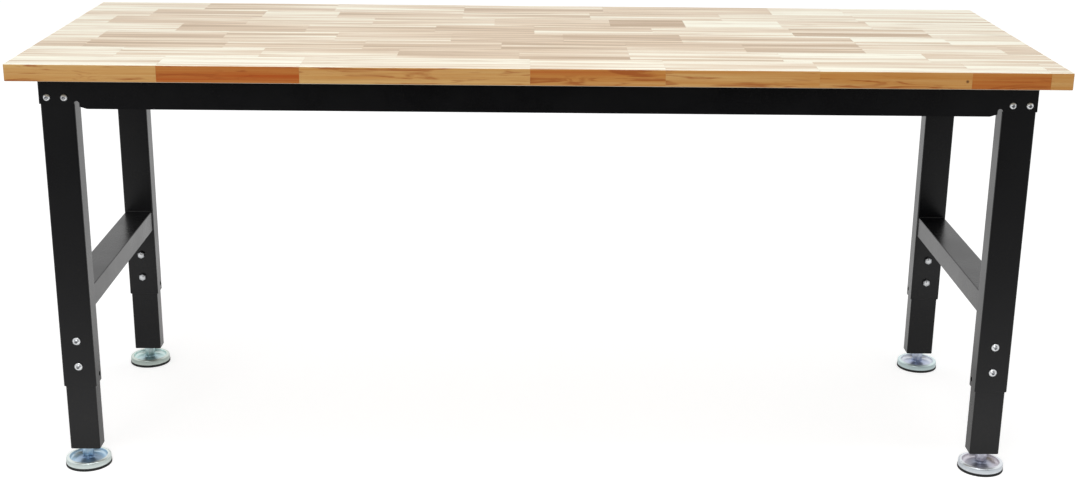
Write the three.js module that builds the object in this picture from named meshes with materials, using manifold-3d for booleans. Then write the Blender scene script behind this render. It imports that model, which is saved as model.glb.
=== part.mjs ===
// A height-adjustable workbench: a wood worktop on a bolted steel frame, with telescoping legs and levelling feet.
// Millimetres, +Z up, front towards -Y. The origin is on the floor, under the middle of the worktop.
import * as THREE from "three";
import { mergeVertices } from "three/addons/utils/BufferGeometryUtils.js";
import Module from "manifold-3d";

const wasm = await Module();
wasm.setup();

// Worktop
const TOP_LENGTH = 1830;
const TOP_DEPTH = 680;
const TOP_THICKNESS = 30;
const TOP_EDGE_ROUND = 1.5;
const TOP_HEIGHT = 778;
const SIDE_OVERHANG = 40;
const FRONT_OVERHANG = 60;

// Outer legs
const LEG_WIDTH = 60;
const LEG_DEPTH = 40;
const LEG_WALL = 2;
const LEG_CORNER = 3;
const LEG_LENGTH = 585;
const SIDE_HOLE_RADIUS = 4.5;
const SIDE_HOLE_RISE = 15;
const SIDE_HOLE_BACK = 8;

// Inner legs
const LEG_SLACK = 0.5;
const INNER_WALL = 2;
const LEG_TRAVEL = 250;
const SLOT_CLEARANCE = 0.5;
const INNER_LEG_ABOVE_SLOT = 28;

// Beams, folded from sheet
const SHEET = 2.5;
const BEAM_HEIGHT = 60;
const TOP_FLANGE = 35;
const BOTTOM_FLANGE = 20;
const FLANGE_END_GAP = 4;
const TAB_LIFT = 8.5;
const TAB_PROUD = 1;
const NOTCH_WIDTH = 9;
const NOTCH_RISE = 1;
const SLOPE_RUN = 13;
const SLOPE_RISE = 4;

// Stretchers and top rails, folded from the same sheet into an upside-down U
const STRETCHER_INSET = 2.5;
const STRETCHER_HEIGHT = 40;
const STRETCHER_BELOW_TOP = 430;
const RAIL_HEIGHT = 30;

// Bolts
const BOLT_RADIUS = 4;
const BOLT_HOLE_CLEARANCE = 0.4;
const HEAD_RADIUS = 7;
const HEAD_HEIGHT = 4.4;
const SOCKET_FLATS = 5;
const SOCKET_DEPTH = 2.4;
const NUT_FLATS = 13;
const NUT_HEIGHT = 6.5;
const BOLT_END = 2.5;
const SEAT_GAP = 0.1;
const BEAM_BOLT_DROP = 40;
const BEAM_BOLT_INSET = 13;
const BEAM_BOLT_PITCH = 30;
const LEG_BOLT_RISE = 39;
const LEG_BOLT_PITCH = 50;

// Wood screws
const SCREW_RADIUS = 2.4;
const SCREW_HOLE_CLEARANCE = 0.3;
const SCREW_HEAD_RADIUS = 4.5;
const SCREW_HEAD_HEIGHT = 3;
const SCREW_LENGTH = 22;
const RAIL_SCREW_REACH = 150;
const BEAM_SCREW_REACH = 420;
const BEAM_SCREW_BACK = 20;

// Levelling feet
const PAD_HEIGHT = 3;
const PAD_RADIUS = 40.5;
const DISC_RADIUS = 41.5;
const DISC_HEIGHT = 13;
const RIM_WIDTH = 5;
const RIM_ROUND = 1.5;
const DISH_DEPTH = 7;
const DISH_SLOPE = 5;
const HUB_RADIUS = 13;
const HUB_HEIGHT = 14;
const PIVOT_RADIUS = 5;
const PIVOT_DEPTH = 8;
const PIVOT_CLEARANCE = 0.3;
const HEX_FLATS = 19;
const HEX_HEIGHT = 17.2;
const HEX_TO_LEG = 1.5;
const STUD_RADIUS = 6;
const STUD_CLEARANCE = 0.3;
const STUD_THREAD = 56;
const FOOT_NUT_HEIGHT = 10;
const FOOT_NUT_RECESS = 1;
const FOOT_NUT_GAP = 0.3;

// Facets of round pieces
const FOOT_SIDES = 24;
const BOLT_SIDES = 12;
const HOLE_SIDES = 10;
const SCREW_SIDES = 8;
const CORNER_STEPS = 3;

// Heights worked out from the sizes above
const underside = TOP_HEIGHT - TOP_THICKNESS;
const legBottom = underside - LEG_LENGTH;
const beamBottom = underside - BEAM_HEIGHT;
const beamBoltHeight = underside - BEAM_BOLT_DROP;
const lowerBoltHeight = legBottom + LEG_BOLT_RISE;
const upperBoltHeight = lowerBoltHeight + LEG_BOLT_PITCH;
const stretcherTop = TOP_HEIGHT - STRETCHER_BELOW_TOP;
const hubTop = PAD_HEIGHT + HUB_HEIGHT;
const hexBottom = hubTop + PIVOT_CLEARANCE;
const hexTop = hexBottom + HEX_HEIGHT;
const innerLegBottom = hexTop + HEX_TO_LEG;
const slotHalf = BOLT_RADIUS + SLOT_CLEARANCE;
const slotBottom = lowerBoltHeight - slotHalf;
const slotTop = upperBoltHeight + LEG_TRAVEL + slotHalf;
const innerLegTop = slotTop + INNER_LEG_ABOVE_SLOT;

// Places in plan
const legOuterX = TOP_LENGTH / 2 - SIDE_OVERHANG;
const legInnerX = legOuterX - LEG_WIDTH;
const legX = legOuterX - LEG_WIDTH / 2;
const legFaceY = TOP_DEPTH / 2 - FRONT_OVERHANG;
const legBackY = legFaceY - LEG_DEPTH;
const legY = legFaceY - LEG_DEPTH / 2;
const boltHoleRadius = BOLT_RADIUS + BOLT_HOLE_CLEARANCE;
const screwHoleRadius = SCREW_RADIUS + SCREW_HOLE_CLEARANCE;

const wood = new THREE.MeshStandardMaterial({ color: 0xd9b383, roughness: 0.45, metalness: 0 });
const coated = new THREE.MeshStandardMaterial({ color: 0x1c1c1e, roughness: 0.4, metalness: 0 });
const zinc = new THREE.MeshStandardMaterial({ color: 0xc4cacd, roughness: 0.3, metalness: 1 });
const rubber = new THREE.MeshStandardMaterial({ color: 0x161616, roughness: 0.85, metalness: 0 });

const corners = [
  { name: "front_left", x: -1, y: -1 },
  { name: "front_right", x: 1, y: -1 },
  { name: "back_left", x: -1, y: 1 },
  { name: "back_right", x: 1, y: 1 },
];
const ends = [
  { name: "left", x: -1 },
  { name: "right", x: 1 },
];

const bench = new THREE.Group();

function place(name, geometry, material) {
  const mesh = new THREE.Mesh(geometry, material);
  mesh.name = name;
  bench.add(mesh);
}

// Booleans on closed geometries
function toSolid(geometry) {
  const bare = geometry.clone();
  bare.deleteAttribute("normal");
  bare.deleteAttribute("uv");
  const merged = mergeVertices(bare, 1e-4);
  const vertProperties = new Float32Array(merged.attributes.position.array);
  const triVerts = new Uint32Array(merged.index.array);
  return new wasm.Manifold(new wasm.Mesh({ numProp: 3, vertProperties, triVerts }));
}

function toGeometry(solid) {
  const { vertProperties, triVerts } = solid.getMesh();
  const geometry = new THREE.BufferGeometry();
  geometry.setAttribute("position", new THREE.BufferAttribute(vertProperties, 3));
  geometry.setIndex(new THREE.BufferAttribute(triVerts, 1));
  geometry.computeVertexNormals();
  return geometry;
}

function cut(geometry, tools) {
  return toGeometry(tools.reduce((solid, tool) => solid.subtract(toSolid(tool)), toSolid(geometry)));
}

function join(geometries) {
  return toGeometry(geometries.map(toSolid).reduce((all, solid) => all.add(solid)));
}

// Basic forms
function box(x0, x1, y0, y1, z0, z1) {
  const form = new THREE.BoxGeometry(x1 - x0, y1 - y0, z1 - z0);
  return form.translate((x0 + x1) / 2, (y0 + y1) / 2, (z0 + z1) / 2);
}

function roundedRectangle(width, depth, radius) {
  const x = width / 2 - radius;
  const y = depth / 2 - radius;
  const shape = new THREE.Shape();
  shape.absarc(x, y, radius, 0, Math.PI / 2);
  shape.absarc(-x, y, radius, Math.PI / 2, Math.PI);
  shape.absarc(-x, -y, radius, Math.PI, 1.5 * Math.PI);
  shape.absarc(x, -y, radius, 1.5 * Math.PI, 2 * Math.PI);
  return shape;
}

function rectangularTube(width, depth, wall, corner, z0, z1) {
  const shape = roundedRectangle(width, depth, corner);
  const bore = roundedRectangle(width - 2 * wall, depth - 2 * wall, Math.max(corner - wall, wall / 4));
  shape.holes.push(bore);
  const options = { depth: z1 - z0, bevelEnabled: false, curveSegments: CORNER_STEPS };
  return new THREE.ExtrudeGeometry(shape, options).translate(0, 0, z0);
}

function rodAlongZ(radius, z0, z1, sides) {
  const rod = new THREE.CylinderGeometry(radius, radius, z1 - z0, sides).rotateX(Math.PI / 2);
  return rod.translate(0, 0, (z0 + z1) / 2);
}

function hexAlongZ(flats, z0, z1) {
  return rodAlongZ(flats / Math.sqrt(3), z0, z1, 6);
}

function turned(outline, sides) {
  const points = outline.map(([radius, z]) => new THREE.Vector2(radius, z));
  return new THREE.LatheGeometry(points, sides).rotateX(Math.PI / 2);
}

// A form made along +Z is laid along Y, with its +Z end towards side * Y.
function layAlongY(geometry, side) {
  return geometry.rotateX((-side * Math.PI) / 2);
}

function holeAlongY(radius, x, z, y0, y1) {
  return layAlongY(rodAlongZ(radius, y0, y1, HOLE_SIDES), 1).translate(x, 0, z);
}

// Upside-down U folded from sheet, running from front leg to back leg
function foldedChannel(width, height, top) {
  const half = width / 2;
  const inside = half - SHEET;
  const shape = new THREE.Shape();
  shape.moveTo(-half, top - height);
  shape.lineTo(-inside, top - height);
  shape.lineTo(-inside, top - SHEET);
  shape.lineTo(inside, top - SHEET);
  shape.lineTo(inside, top - height);
  shape.lineTo(half, top - height);
  shape.lineTo(half, top);
  shape.lineTo(-half, top);
  const options = { depth: 2 * legBackY, bevelEnabled: false };
  return new THREE.ExtrudeGeometry(shape, options).rotateX(Math.PI / 2).translate(0, legBackY, 0);
}

// Front view of a beam's web, with the tabs that lap the legs and a relief notch beside each leg
function beamWeb() {
  const tabEnd = legOuterX + TAB_PROUD;
  const tabBottom = beamBottom + TAB_LIFT;
  const notchX = legInnerX - NOTCH_WIDTH / 2;
  const notchZ = tabBottom + NOTCH_RISE;
  const flatEnd = legInnerX - NOTCH_WIDTH - SLOPE_RUN;
  const shape = new THREE.Shape();
  shape.moveTo(-flatEnd, beamBottom);
  shape.lineTo(flatEnd, beamBottom);
  shape.lineTo(legInnerX - NOTCH_WIDTH, beamBottom + SLOPE_RISE);
  shape.absarc(notchX, notchZ, NOTCH_WIDTH / 2, Math.PI, 0, true);
  shape.lineTo(legInnerX, tabBottom);
  shape.lineTo(tabEnd, tabBottom);
  shape.lineTo(tabEnd, underside);
  shape.lineTo(-tabEnd, underside);
  shape.lineTo(-tabEnd, tabBottom);
  shape.lineTo(-legInnerX, tabBottom);
  shape.absarc(-notchX, notchZ, NOTCH_WIDTH / 2, Math.PI, 0, true);
  shape.lineTo(-legInnerX + NOTCH_WIDTH, beamBottom + SLOPE_RISE);
  const options = { depth: SHEET, bevelEnabled: false, curveSegments: 2 * CORNER_STEPS };
  return new THREE.ExtrudeGeometry(shape, options).rotateX(Math.PI / 2).translate(0, -legFaceY, 0);
}

const beamBoltPlaces = [BEAM_BOLT_INSET, BEAM_BOLT_INSET + BEAM_BOLT_PITCH].map((inset) => legOuterX - inset);
const beamScrewY = legFaceY - BEAM_SCREW_BACK;

// The front beam. The rear one is the same piece turned half round.
function frontBeam() {
  const webFront = -legFaceY - SHEET;
  const flangeEnd = legInnerX - FLANGE_END_GAP;
  const flatEnd = legInnerX - NOTCH_WIDTH - SLOPE_RUN;
  const topFlange = box(-flangeEnd, flangeEnd, webFront, webFront + TOP_FLANGE, underside - SHEET, underside);
  const bottomFlange = box(-flatEnd, flatEnd, webFront, webFront + BOTTOM_FLANGE, beamBottom, beamBottom + SHEET);
  const holes = [];
  for (const side of [-1, 1]) {
    for (const place of beamBoltPlaces) {
      holes.push(holeAlongY(boltHoleRadius, side * place, beamBoltHeight, webFront - 1, -legFaceY + 1));
    }
    const screwHole = rodAlongZ(screwHoleRadius, underside - SHEET - 1, underside + 1, SCREW_SIDES);
    holes.push(screwHole.translate(side * BEAM_SCREW_REACH, -beamScrewY, 0));
  }
  return cut(join([beamWeb(), topFlange, bottomFlange]), holes);
}

// Outer leg of one corner
function outerLeg(corner) {
  const tube = rectangularTube(LEG_WIDTH, LEG_DEPTH, LEG_WALL, LEG_CORNER, legBottom, underside);
  tube.translate(corner.x * legX, corner.y * legY, 0);
  const holes = [];
  for (const place of beamBoltPlaces) {
    const wallY = corner.y * (legFaceY - LEG_WALL / 2);
    const hole = holeAlongY(boltHoleRadius, corner.x * place, beamBoltHeight, wallY - LEG_WALL, wallY + LEG_WALL);
    holes.push(hole);
  }
  for (const height of [lowerBoltHeight, upperBoltHeight]) {
    const y = corner.y * legY;
    holes.push(holeAlongY(boltHoleRadius, corner.x * legX, height, y - LEG_DEPTH, y + LEG_DEPTH));
  }
  const sideHole = rodAlongZ(SIDE_HOLE_RADIUS, -LEG_WALL, LEG_WALL, BOLT_SIDES).rotateY(Math.PI / 2);
  const sideX = corner.x * (legInnerX + LEG_WALL / 2);
  holes.push(sideHole.translate(sideX, corner.y * legY + SIDE_HOLE_BACK, legBottom + SIDE_HOLE_RISE));
  return cut(tube, holes);
}

// Inner leg of one corner, slotted front and back so that the clamping bolts let it slide
const innerWidth = LEG_WIDTH - 2 * LEG_WALL - 2 * LEG_SLACK;
const innerDepth = LEG_DEPTH - 2 * LEG_WALL - 2 * LEG_SLACK;

function innerLeg(corner) {
  const tube = rectangularTube(innerWidth, innerDepth, INNER_WALL, LEG_CORNER, innerLegBottom, innerLegTop);
  const slot = box(-slotHalf, slotHalf, -innerDepth, innerDepth, slotBottom, slotTop);
  return cut(tube, [slot]).translate(corner.x * legX, corner.y * legY, 0);
}

// Threaded plate in the lower end of an inner leg
function footNut(corner) {
  const halfWidth = innerWidth / 2 - INNER_WALL - FOOT_NUT_GAP;
  const halfDepth = innerDepth / 2 - INNER_WALL - FOOT_NUT_GAP;
  const bottom = innerLegBottom + FOOT_NUT_RECESS;
  const top = bottom + FOOT_NUT_HEIGHT;
  const plate = box(-halfWidth, halfWidth, -halfDepth, halfDepth, bottom, top);
  const bore = rodAlongZ(STUD_RADIUS + STUD_CLEARANCE, bottom - 1, top + 1, BOLT_SIDES);
  return cut(plate, [bore]).translate(corner.x * legX, corner.y * legY, 0);
}

// Bolt along +Z with its seat at zero, head above, and a nut whose seat is grip below
function boltWithNut(grip) {
  const seat = SEAT_GAP;
  const nutSeat = -grip - SEAT_GAP;
  const end = nutSeat - NUT_HEIGHT - BOLT_END;
  const crown = seat + HEAD_HEIGHT;
  const outline = [
    [0, end],
    [BOLT_RADIUS - 1, end],
    [BOLT_RADIUS, end + 1],
    [BOLT_RADIUS, seat],
    [HEAD_RADIUS, seat],
    [HEAD_RADIUS * 0.96, seat + HEAD_HEIGHT * 0.35],
    [HEAD_RADIUS * 0.76, seat + HEAD_HEIGHT * 0.78],
    [HEAD_RADIUS * 0.5, crown],
    [0, crown],
  ];
  const nut = hexAlongZ(NUT_FLATS, nutSeat - NUT_HEIGHT, nutSeat);
  const socket = hexAlongZ(SOCKET_FLATS, crown - SOCKET_DEPTH, crown + 1);
  return cut(join([turned(outline, BOLT_SIDES), nut]), [socket]);
}

// Wood screw along +Z with its seat at zero and its point up
function woodScrew() {
  const outline = [
    [0, -SEAT_GAP - SCREW_HEAD_HEIGHT],
    [SCREW_HEAD_RADIUS * 0.7, -SEAT_GAP - SCREW_HEAD_HEIGHT],
    [SCREW_HEAD_RADIUS, -SEAT_GAP],
    [SCREW_RADIUS, -SEAT_GAP],
    [SCREW_RADIUS, SCREW_LENGTH - SCREW_RADIUS],
    [0, SCREW_LENGTH],
  ];
  return turned(outline, SCREW_SIDES);
}

// Zinc cup of a foot, with a hub that carries the stud's pivot
function footDisc() {
  const rim = PAD_HEIGHT + DISC_HEIGHT;
  const dish = rim - DISH_DEPTH;
  const dishEdge = DISC_RADIUS - RIM_WIDTH;
  const outline = [
    [0, PAD_HEIGHT],
    [DISC_RADIUS - RIM_ROUND, PAD_HEIGHT],
    [DISC_RADIUS, PAD_HEIGHT + RIM_ROUND],
    [DISC_RADIUS, rim - RIM_ROUND],
    [DISC_RADIUS - RIM_ROUND, rim],
    [dishEdge + RIM_ROUND, rim],
    [dishEdge, rim - RIM_ROUND],
    [dishEdge - DISH_SLOPE, dish],
    [HUB_RADIUS + DISH_SLOPE, dish],
    [HUB_RADIUS, hubTop],
    [PIVOT_RADIUS + PIVOT_CLEARANCE, hubTop],
    [PIVOT_RADIUS + PIVOT_CLEARANCE, hubTop - PIVOT_DEPTH - PIVOT_CLEARANCE],
    [0, hubTop - PIVOT_DEPTH - PIVOT_CLEARANCE],
  ];
  return turned(outline, FOOT_SIDES);
}

// Stud of a foot: pivot, hexagon for the spanner and threaded shank
function footStud() {
  const pivot = rodAlongZ(PIVOT_RADIUS, hubTop - PIVOT_DEPTH, hexBottom + 1, BOLT_SIDES);
  const hexagon = hexAlongZ(HEX_FLATS, hexBottom, hexTop);
  const shank = rodAlongZ(STUD_RADIUS, hexTop - 1, hexTop + STUD_THREAD, BOLT_SIDES);
  return join([pivot, hexagon, shank]);
}

// Worktop with rounded edges and a blind hole over each screw
function worktop(screwPlaces) {
  const round = TOP_EDGE_ROUND;
  const half = { x: TOP_LENGTH / 2 - round, y: TOP_DEPTH / 2 - round };
  const shape = new THREE.Shape();
  shape.moveTo(-half.x, -half.y);
  shape.lineTo(half.x, -half.y);
  shape.lineTo(half.x, half.y);
  shape.lineTo(-half.x, half.y);
  const options = {
    depth: TOP_THICKNESS - 2 * round,
    bevelThickness: round,
    bevelSize: round,
    bevelSegments: 2,
  };
  const board = new THREE.ExtrudeGeometry(shape, options).translate(0, 0, underside + round);
  const holeTop = underside - SHEET + SCREW_LENGTH + SCREW_HOLE_CLEARANCE;
  const holes = screwPlaces.map(({ x, y }) => {
    return rodAlongZ(screwHoleRadius, underside - 1, holeTop, SCREW_SIDES).translate(x, y, 0);
  });
  return cut(board, holes);
}

const railScrews = ends.flatMap(({ x }) => [-1, 1].map((y) => ({ x: x * legX, y: y * RAIL_SCREW_REACH })));
const beamScrews = corners.map(({ x, y }) => ({ x: x * BEAM_SCREW_REACH, y: y * beamScrewY }));
const screwPlaces = [...railScrews, ...beamScrews];

place("worktop", worktop(screwPlaces), wood);
place("front_beam", frontBeam(), coated);
place("rear_beam", frontBeam().rotateZ(Math.PI), coated);

for (const end of ends) {
  const width = LEG_WIDTH - 2 * STRETCHER_INSET;
  const stretcher = foldedChannel(width, STRETCHER_HEIGHT, stretcherTop);
  place("stretcher_" + end.name, stretcher.translate(end.x * legX, 0, 0), coated);
  const rail = foldedChannel(width, RAIL_HEIGHT, underside).translate(end.x * legX, 0, 0);
  const holes = [-1, 1].map((side) => {
    const hole = rodAlongZ(screwHoleRadius, underside - SHEET - 1, underside + 1, SCREW_SIDES);
    return hole.translate(end.x * legX, side * RAIL_SCREW_REACH, 0);
  });
  place("top_rail_" + end.name, cut(rail, holes), coated);
}

for (const corner of corners) {
  const at = [corner.x * legX, corner.y * legY, 0];
  place("outer_leg_" + corner.name, outerLeg(corner), coated);
  place("inner_leg_" + corner.name, innerLeg(corner), coated);
  place("foot_nut_" + corner.name, footNut(corner), coated);
  place("foot_stud_" + corner.name, footStud().translate(...at), zinc);
  place("foot_disc_" + corner.name, footDisc().translate(...at), zinc);
  place("foot_pad_" + corner.name, rodAlongZ(PAD_RADIUS, 0, PAD_HEIGHT, FOOT_SIDES).translate(...at), rubber);
  beamBoltPlaces.forEach((x, index) => {
    const bolt = layAlongY(boltWithNut(SHEET + LEG_WALL), corner.y);
    bolt.translate(corner.x * x, corner.y * (legFaceY + SHEET), beamBoltHeight);
    place("beam_bolt_" + corner.name + "_" + (index + 1), bolt, zinc);
  });
  const legBolts = { lower: lowerBoltHeight, upper: upperBoltHeight };
  for (const [level, height] of Object.entries(legBolts)) {
    const bolt = layAlongY(boltWithNut(LEG_DEPTH), corner.y);
    bolt.translate(corner.x * legX, corner.y * legFaceY, height);
    place("leg_bolt_" + corner.name + "_" + level, bolt, zinc);
  }
}

screwPlaces.forEach(({ x, y }, index) => {
  place("top_screw_" + (index + 1), woodScrew().translate(x, y, underside - SHEET), zinc);
});

export default bench;
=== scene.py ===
"""The looks of a height-adjustable workbench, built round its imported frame.

Lengths are in metres, +Z is up and the front faces -Y.
"""

import math
import random

import bmesh
import bpy
from mathutils import Matrix, Vector


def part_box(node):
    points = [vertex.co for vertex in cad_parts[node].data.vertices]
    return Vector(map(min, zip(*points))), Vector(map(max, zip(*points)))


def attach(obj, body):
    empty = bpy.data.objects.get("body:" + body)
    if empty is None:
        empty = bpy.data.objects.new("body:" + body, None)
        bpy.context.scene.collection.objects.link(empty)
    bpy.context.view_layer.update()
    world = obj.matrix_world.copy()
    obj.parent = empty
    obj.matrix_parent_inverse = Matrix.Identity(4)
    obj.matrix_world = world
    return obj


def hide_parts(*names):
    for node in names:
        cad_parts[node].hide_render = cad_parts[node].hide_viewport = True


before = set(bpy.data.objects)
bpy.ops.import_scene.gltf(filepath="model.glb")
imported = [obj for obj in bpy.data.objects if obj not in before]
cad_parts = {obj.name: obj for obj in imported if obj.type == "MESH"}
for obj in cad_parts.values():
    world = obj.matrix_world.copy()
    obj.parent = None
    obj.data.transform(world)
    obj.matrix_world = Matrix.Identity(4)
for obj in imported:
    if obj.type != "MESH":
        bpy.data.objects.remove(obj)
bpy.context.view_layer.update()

MM = 0.001
QUARTER_TURN = math.pi / 2
CORNERS = ("front_left", "front_right", "back_left", "back_right")
ENDS = ("left", "right")

# Edges sharper than these angles, in degrees, stay sharp
TUBE_SMOOTH = 50
TURNED_SMOOTH = 40
FOOT_SMOOTH = 50
BEAD_SMOOTH = 60
FOLDED_SMOOTH = 45
WOOD_SMOOTH = 40
CUTTER_SMOOTH = 35


# Meshes
MERGE_DISTANCE = 1e-6
ARC_STEPS = 5
# Radius of a hexagon's round face, as a share of its width over flats
HEX_FACE = 0.48


def add_piece(name, mesh, body, slot, material, *nodes):
    """Adds a piece that rides on a body and takes the place of the named nodes."""
    piece = bpy.data.objects.new(name, mesh)
    bpy.context.scene.collection.objects.link(piece)
    piece.data.materials.append(material)
    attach(piece, body)
    if nodes:
        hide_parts(*nodes)
    return piece


def shade(mesh, smooth_angle):
    """Shades a mesh smooth except across edges sharper than smooth_angle degrees."""
    mesh.shade_smooth()
    mesh.set_sharp_from_angle(angle=math.radians(smooth_angle))


def mesh_from(name, build, smooth_angle):
    """A mesh made by build(bm)."""
    bm = bmesh.new()
    build(bm)
    bmesh.ops.remove_doubles(bm, verts=bm.verts, dist=MERGE_DISTANCE)
    bmesh.ops.recalc_face_normals(bm, faces=bm.faces)
    mesh = bpy.data.meshes.new(name)
    bm.to_mesh(mesh)
    bm.free()
    shade(mesh, smooth_angle)
    return mesh


def set_painted_shade(mesh, shade_at):
    """Marks how much painted shade each point of a mesh gets, from 0 to 1."""
    layer = mesh.attributes.new("painted_shade", "FLOAT", "POINT")
    for vert, value in zip(mesh.vertices, layer.data):
        value.value = shade_at(vert.co)


def flatten_shading(piece):
    """Lets large flat faces keep their own normals beside small rounded ones."""
    weigh = piece.modifiers.new("flat_faces", "WEIGHTED_NORMAL")
    weigh.keep_sharp = True


def move(bm, matrix):
    bmesh.ops.transform(bm, matrix=matrix, verts=bm.verts)


def stand_at(centre):
    """Moves what was turned about Z to stand on another upright axis."""
    return Matrix.Translation((centre.x, centre.y, 0))


def bridge(bm, loops, closed=False):
    """Quads between loops of the same length. Open ends are capped, or joined to each other when closed."""
    rings = [[bm.verts.new(point) for point in loop] for loop in loops]
    count = len(rings[0])
    pairs = list(zip(rings, rings[1:]))
    if closed:
        pairs.append((rings[-1], rings[0]))
    else:
        bm.faces.new(rings[0])
        bm.faces.new(rings[-1])
    for low, high in pairs:
        for i in range(count):
            j = (i + 1) % count
            bm.faces.new((low[i], low[j], high[j], high[i]))


def turns(sides):
    """Angles of evenly spaced points round a circle."""
    return [2 * math.pi * i / sides for i in range(sides)]


def round_point(radius, angle, z):
    return Vector((radius * math.cos(angle), radius * math.sin(angle), z))


def hex_radius(flats, angle):
    """How far a hexagon's outline lies from its middle in one direction."""
    half_side = math.pi / 6
    off_flat = (angle + half_side) % (2 * half_side) - half_side
    return flats / 2 / math.cos(off_flat)


def spun(bm, rows, sides):
    """A body turned about Z from rows of (radius, z), or (flats, z, "hex") where it is six-sided."""
    loops = []
    for size, z, *shape in rows:
        loop = []
        for angle in turns(sides):
            radius = hex_radius(size, angle) if shape else size
            loop.append(round_point(radius, angle, z))
        loops.append(loop)
    bridge(bm, loops)


def arc(centre_radius, centre_z, size, start, end, steps=ARC_STEPS):
    """Rows along an arc of the outline, its start and end in degrees."""
    rows = []
    for i in range(steps + 1):
        angle = math.radians(start + (end - start) * i / steps)
        rows.append((centre_radius + size * math.cos(angle), centre_z + size * math.sin(angle)))
    return rows


def hexagon(flats, low, high, chamfer):
    """Rows of a six-sided stretch whose ends are chamfered to round faces."""
    return [
        (flats * HEX_FACE, low),
        (flats, low + chamfer, "hex"),
        (flats, high - chamfer, "hex"),
        (flats * HEX_FACE, high),
    ]


def carve(piece, build):
    """Cuts the shape made by build(bm) out of a piece's mesh."""
    cutter = bpy.data.objects.new("cutter", mesh_from("cutter", build, CUTTER_SMOOTH))
    bpy.context.scene.collection.objects.link(cutter)
    cut = piece.modifiers.new("cut", "BOOLEAN")
    cut.operation = "DIFFERENCE"
    cut.solver = "EXACT"
    cut.object = cutter
    bpy.context.view_layer.update()
    evaluated = piece.evaluated_get(bpy.context.evaluated_depsgraph_get())
    carved = bpy.data.meshes.new_from_object(evaluated)
    shade(carved, TUBE_SMOOTH)
    piece.modifiers.clear()
    piece.data = carved
    bpy.data.objects.remove(cutter)


# Materials
NOISE_LOW = 0.3
NOISE_HIGH = 0.7
# Sockets of a mix node that hold colours
COLOUR_A = 6
COLOUR_B = 7
COLOUR_RESULT = 2


def opaque(colour):
    """A colour with full cover, or a socket as it is."""
    return (*colour, 1) if isinstance(colour, tuple) else colour


class Nodes:
    """A short way to build a node material."""

    def __init__(self, name):
        self.material = bpy.data.materials.new(name)
        self.material.use_nodes = True
        self.tree = self.material.node_tree
        self.shader = self.tree.nodes["Principled BSDF"]

    def add(self, kind, **settings):
        node = self.tree.nodes.new(kind)
        for key, value in settings.items():
            setattr(node, key, value)
        return node

    def link(self, source, target):
        self.tree.links.new(source, target)

    def put(self, target, value):
        if isinstance(value, bpy.types.NodeSocket):
            self.link(value, target)
        else:
            target.default_value = value

    def set(self, **values):
        for name, value in values.items():
            self.put(self.shader.inputs[name.replace("_", " ")], value)

    def attribute(self, name, output):
        return self.add("ShaderNodeAttribute", attribute_name=name).outputs[output]

    def math(self, operation, a, b=0.0, clamp=False):
        node = self.add("ShaderNodeMath", operation=operation, use_clamp=clamp)
        self.put(node.inputs[0], a)
        self.put(node.inputs[1], b)
        return node.outputs[0]

    def mix(self, share, a, b):
        node = self.add("ShaderNodeMix", data_type="RGBA")
        self.put(node.inputs["Factor"], share)
        self.put(node.inputs[COLOUR_A], opaque(a))
        self.put(node.inputs[COLOUR_B], opaque(b))
        return node.outputs[COLOUR_RESULT]

    def fit(self, value, low, high, new_low, new_high):
        """A value's range from low to high, made to run from new_low to new_high."""
        node = self.add("ShaderNodeMapRange")
        self.put(node.inputs["Value"], value)
        limits = {"From Min": low, "From Max": high, "To Min": new_low, "To Max": new_high}
        for name, number in limits.items():
            node.inputs[name].default_value = number
        return node.outputs["Result"]

    def spread(self, noise, low, high):
        """A noise's usual range, made to run from low to high."""
        return self.fit(noise, NOISE_LOW, NOISE_HIGH, low, high)

    def uneven(self, cloud, low, high, grain, share):
        """A roughness that varies with a cloud, and a little with a grain."""
        return self.math("ADD", self.spread(cloud, low, high), self.math("MULTIPLY", grain, share))

    def cover(self, ground, colour, mask, low, high, share):
        """Lays a colour over a ground where a mask rises from low to high, up to a share."""
        return self.mix(self.fit(mask, low, high, 0.0, share), ground, colour)

    def place(self, scale=(1, 1, 1), shift=None):
        """Object coordinates in metres, stretched by scale, with an optional shift."""
        stretch = self.add("ShaderNodeVectorMath", operation="MULTIPLY")
        self.link(self.add("ShaderNodeTexCoord").outputs["Object"], stretch.inputs[0])
        stretch.inputs[1].default_value = scale
        if shift is None:
            return stretch.outputs[0]
        moved = self.add("ShaderNodeVectorMath", operation="ADD")
        self.link(stretch.outputs[0], moved.inputs[0])
        self.link(shift, moved.inputs[1])
        return moved.outputs[0]

    def noise(self, vector, scale=1.0, detail=3.0, roughness=0.55, distortion=0.0):
        node = self.add("ShaderNodeTexNoise")
        self.link(vector, node.inputs["Vector"])
        look = {"Scale": scale, "Detail": detail, "Roughness": roughness, "Distortion": distortion}
        for name, number in look.items():
            node.inputs[name].default_value = number
        return node.outputs["Fac"]

    def bump(self, height, strength, distance):
        node = self.add("ShaderNodeBump")
        node.inputs["Strength"].default_value = strength
        node.inputs["Distance"].default_value = distance
        self.link(height, node.inputs["Height"])
        self.link(node.outputs["Normal"], self.shader.inputs["Normal"])


# Black powder coat and rubber
COAT_DARK = (0.0012, 0.0012, 0.0017)
COAT_LIGHT = (0.0027, 0.0027, 0.0035)
RUBBER_DARK = (0.006, 0.006, 0.006)
RUBBER_LIGHT = (0.014, 0.014, 0.014)
COARSE_BUMP = 0.3 * MM
FINE_BUMP = 0.2 * MM


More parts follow.
